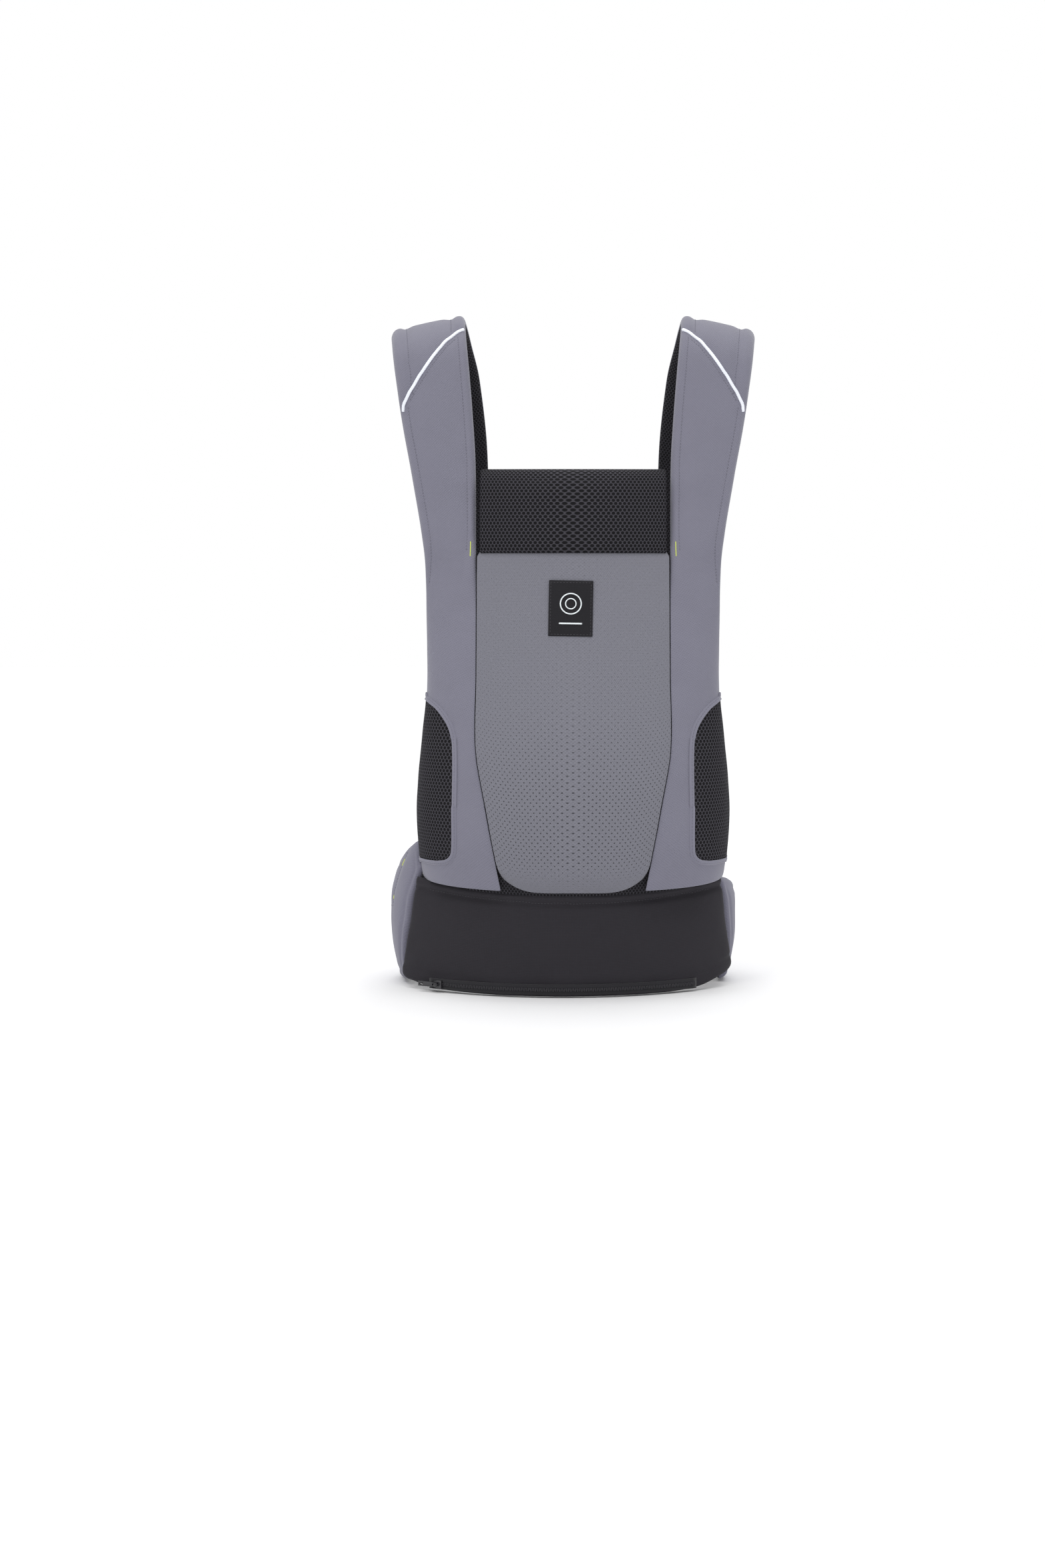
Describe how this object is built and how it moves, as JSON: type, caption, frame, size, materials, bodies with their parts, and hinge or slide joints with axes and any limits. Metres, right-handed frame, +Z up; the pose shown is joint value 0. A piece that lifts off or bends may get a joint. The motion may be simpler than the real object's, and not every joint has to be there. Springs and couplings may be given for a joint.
{
  "type": "soft baby carrier",
  "caption": "Soft-structured baby carrier: padded over-shoulder straps, curved body panel with mesh headrest and side windows, padded waist belt with zipped pouch, and side-release buckles.",
  "frame": {"origin": "centre of the bounding box at the surface the belt stands on", "axes": "+Z up along the panel, -Y the outer face of the panel, +X to the right when looking at that face"},
  "size_m": [0.4048, 0.2542, 0.7359],
  "materials": {
    "strap_fabric": "matt woven cotton twill",
    "panel_knit": "matt perforated knit",
    "spacer_mesh": "black three-layer spacer mesh",
    "belt_fabric": "matt woven twill over padding",
    "pouch_fabric": "black plain-woven polyester",
    "foam": "polyurethane foam",
    "lining_fabric": "black lining",
    "webbing": "black woven webbing",
    "elastic": "black knitted elastic",
    "buckle_plastic": "moulded acetal, fine spark-eroded texture",
    "reflective_piping": "retroreflective tape",
    "label": "woven label",
    "zip_tape": "woven tape with moulded coil",
    "zip_metal": "black enamelled zinc"
  },
  "bodies": {
    "carrier": {"anchor_web_l": "webbing", "anchor_web_r": "webbing", "belt_pad_l": "lining_fabric", "belt_pad_r": "lining_fabric", "belt_wing_l": "belt_fabric", "belt_wing_r": "belt_fabric", "body_lining": "lining_fabric", "center_panel": "panel_knit", "chest_rail_l": "webbing", "chest_rail_r": "webbing", "headrest_cover": "spacer_mesh", "headrest_foam": "foam", "label_patch": "label", "ladder_lock_l": "buckle_plastic", "ladder_lock_r": "buckle_plastic", "piping_l": "reflective_piping", "piping_r": "reflective_piping", "side_mesh_l": "spacer_mesh", "side_mesh_r": "spacer_mesh", "side_panel_l": "strap_fabric", "side_panel_r": "strap_fabric", "side_plug_l": "buckle_plastic", "side_plug_r": "buckle_plastic", "side_socket_l": "buckle_plastic", "side_socket_r": "buckle_plastic", "strap_cover_l": "strap_fabric", "strap_cover_r": "strap_fabric", "strap_foam_l": "foam", "strap_foam_r": "foam", "strap_lining_l": "spacer_mesh", "strap_lining_r": "spacer_mesh", "strap_tab_l": "webbing", "strap_tab_r": "webbing", "strap_web_l": "webbing", "strap_web_r": "webbing", "waist_plug": "buckle_plastic", "waist_pouch": "pouch_fabric", "waist_socket": "buckle_plastic", "waist_web_l": "webbing", "waist_web_r": "webbing", "zip_chain": "zip_tape"},
    "zip_slider": {"zip_slider": "zip_metal"},
    "zip_puller": {"zip_puller": "zip_metal"},
    "chest_strap": {"chest_slider_l": "buckle_plastic", "chest_slider_r": "buckle_plastic", "chest_web_l": "webbing", "chest_web_r": "webbing", "chest_socket": "buckle_plastic", "chest_plug": "buckle_plastic"},
    "strap_keeper_l": {"strap_keeper_l": "elastic"},
    "strap_keeper_r": {"strap_keeper_r": "elastic"},
    "waist_keeper": {"waist_keeper": "elastic"},
    "chest_prong_lower": {"chest_prong_lower": "buckle_plastic"},
    "chest_prong_upper": {"chest_prong_upper": "buckle_plastic"},
    "side_prong_inner_l": {"side_prong_inner_l": "buckle_plastic"},
    "side_prong_inner_r": {"side_prong_inner_r": "buckle_plastic"},
    "side_prong_outer_l": {"side_prong_outer_l": "buckle_plastic"},
    "side_prong_outer_r": {"side_prong_outer_r": "buckle_plastic"},
    "waist_prong_lower": {"waist_prong_lower": "buckle_plastic"},
    "waist_prong_upper": {"waist_prong_upper": "buckle_plastic"}
  },
  "joints": [
    {"name": "zip_travel", "type": "hinge", "parent": "carrier", "child": "zip_slider", "pos_m": [-0.011, 0.157, 0.0085], "axis": [0, 0, 1], "range_deg": [0, 59]},
    {"name": "zip_puller_swing", "type": "hinge", "parent": "zip_slider", "child": "zip_puller", "pos_m": [-0.14701, -0.08339, 0.0085], "axis": [0, 0, 1], "range_deg": [0, 170]},
    {"name": "side_outer_squeeze_r", "type": "hinge", "parent": "carrier", "child": "side_prong_outer_r", "pos_m": [0.1475, -0.03415, 0.35545], "axis": [0, 0.5299, -0.848], "range_deg": [0, 9], "stiffness_Nm_per_rad": 0.8},
    {"name": "side_inner_squeeze_r", "type": "hinge", "parent": "carrier", "child": "side_prong_inner_r", "pos_m": [0.1245, -0.03415, 0.35545], "axis": [0, -0.5299, 0.848], "range_deg": [0, 9], "stiffness_Nm_per_rad": 0.8},
    {"name": "side_outer_squeeze_l", "type": "hinge", "parent": "carrier", "child": "side_prong_outer_l", "pos_m": [-0.1475, -0.03415, 0.35545], "axis": [0, -0.5299, 0.848], "range_deg": [0, 9], "stiffness_Nm_per_rad": 0.8},
    {"name": "side_inner_squeeze_l", "type": "hinge", "parent": "carrier", "child": "side_prong_inner_l", "pos_m": [-0.1245, -0.03415, 0.35545], "axis": [0, 0.5299, -0.848], "range_deg": [0, 9], "stiffness_Nm_per_rad": 0.8},
    {"name": "waist_lower_squeeze", "type": "hinge", "parent": "carrier", "child": "waist_prong_lower", "pos_m": [-0.0254, 0.118, 0.04], "axis": [0, -1, 0], "range_deg": [0, 9], "stiffness_Nm_per_rad": 0.8},
    {"name": "waist_upper_squeeze", "type": "hinge", "parent": "carrier", "child": "waist_prong_upper", "pos_m": [-0.0254, 0.118, 0.076], "axis": [0, 1, 0], "range_deg": [0, 9], "stiffness_Nm_per_rad": 0.8},
    {"name": "chest_lower_squeeze", "type": "hinge", "parent": "chest_strap", "child": "chest_prong_lower", "pos_m": [-0.0084, 0.07893, 0.53715], "axis": [0, -0.9888, -0.1495], "range_deg": [0, 9], "stiffness_Nm_per_rad": 0.8},
    {"name": "chest_upper_squeeze", "type": "hinge", "parent": "chest_strap", "child": "chest_prong_upper", "pos_m": [-0.0084, 0.07624, 0.55495], "axis": [0, 0.9888, 0.1495], "range_deg": [0, 9], "stiffness_Nm_per_rad": 0.8},
    {"name": "chest_strap_height", "type": "slide", "parent": "carrier", "child": "chest_strap", "axis": [0, -0.1495, 0.9888], "range_m": [-0.045, 0.045]},
    {"name": "strap_keeper_slide_l", "type": "slide", "parent": "carrier", "child": "strap_keeper_l", "axis": [0, -0.848, -0.5299], "range_m": [-0.003, 0.008]},
    {"name": "strap_keeper_slide_r", "type": "slide", "parent": "carrier", "child": "strap_keeper_r", "axis": [0, -0.848, -0.5299], "range_m": [-0.003, 0.008]},
    {"name": "waist_keeper_slide", "type": "slide", "parent": "carrier", "child": "waist_keeper", "axis": [1, 0, 0], "range_m": [-0.004, 0.012]}
  ],
  "couplings": [
    {"joint": "side_inner_squeeze_r", "follows": "side_outer_squeeze_r", "ratio": 1},
    {"joint": "side_inner_squeeze_l", "follows": "side_outer_squeeze_l", "ratio": 1},
    {"joint": "waist_upper_squeeze", "follows": "waist_lower_squeeze", "ratio": 1},
    {"joint": "chest_upper_squeeze", "follows": "chest_lower_squeeze", "ratio": 1}
  ]
}
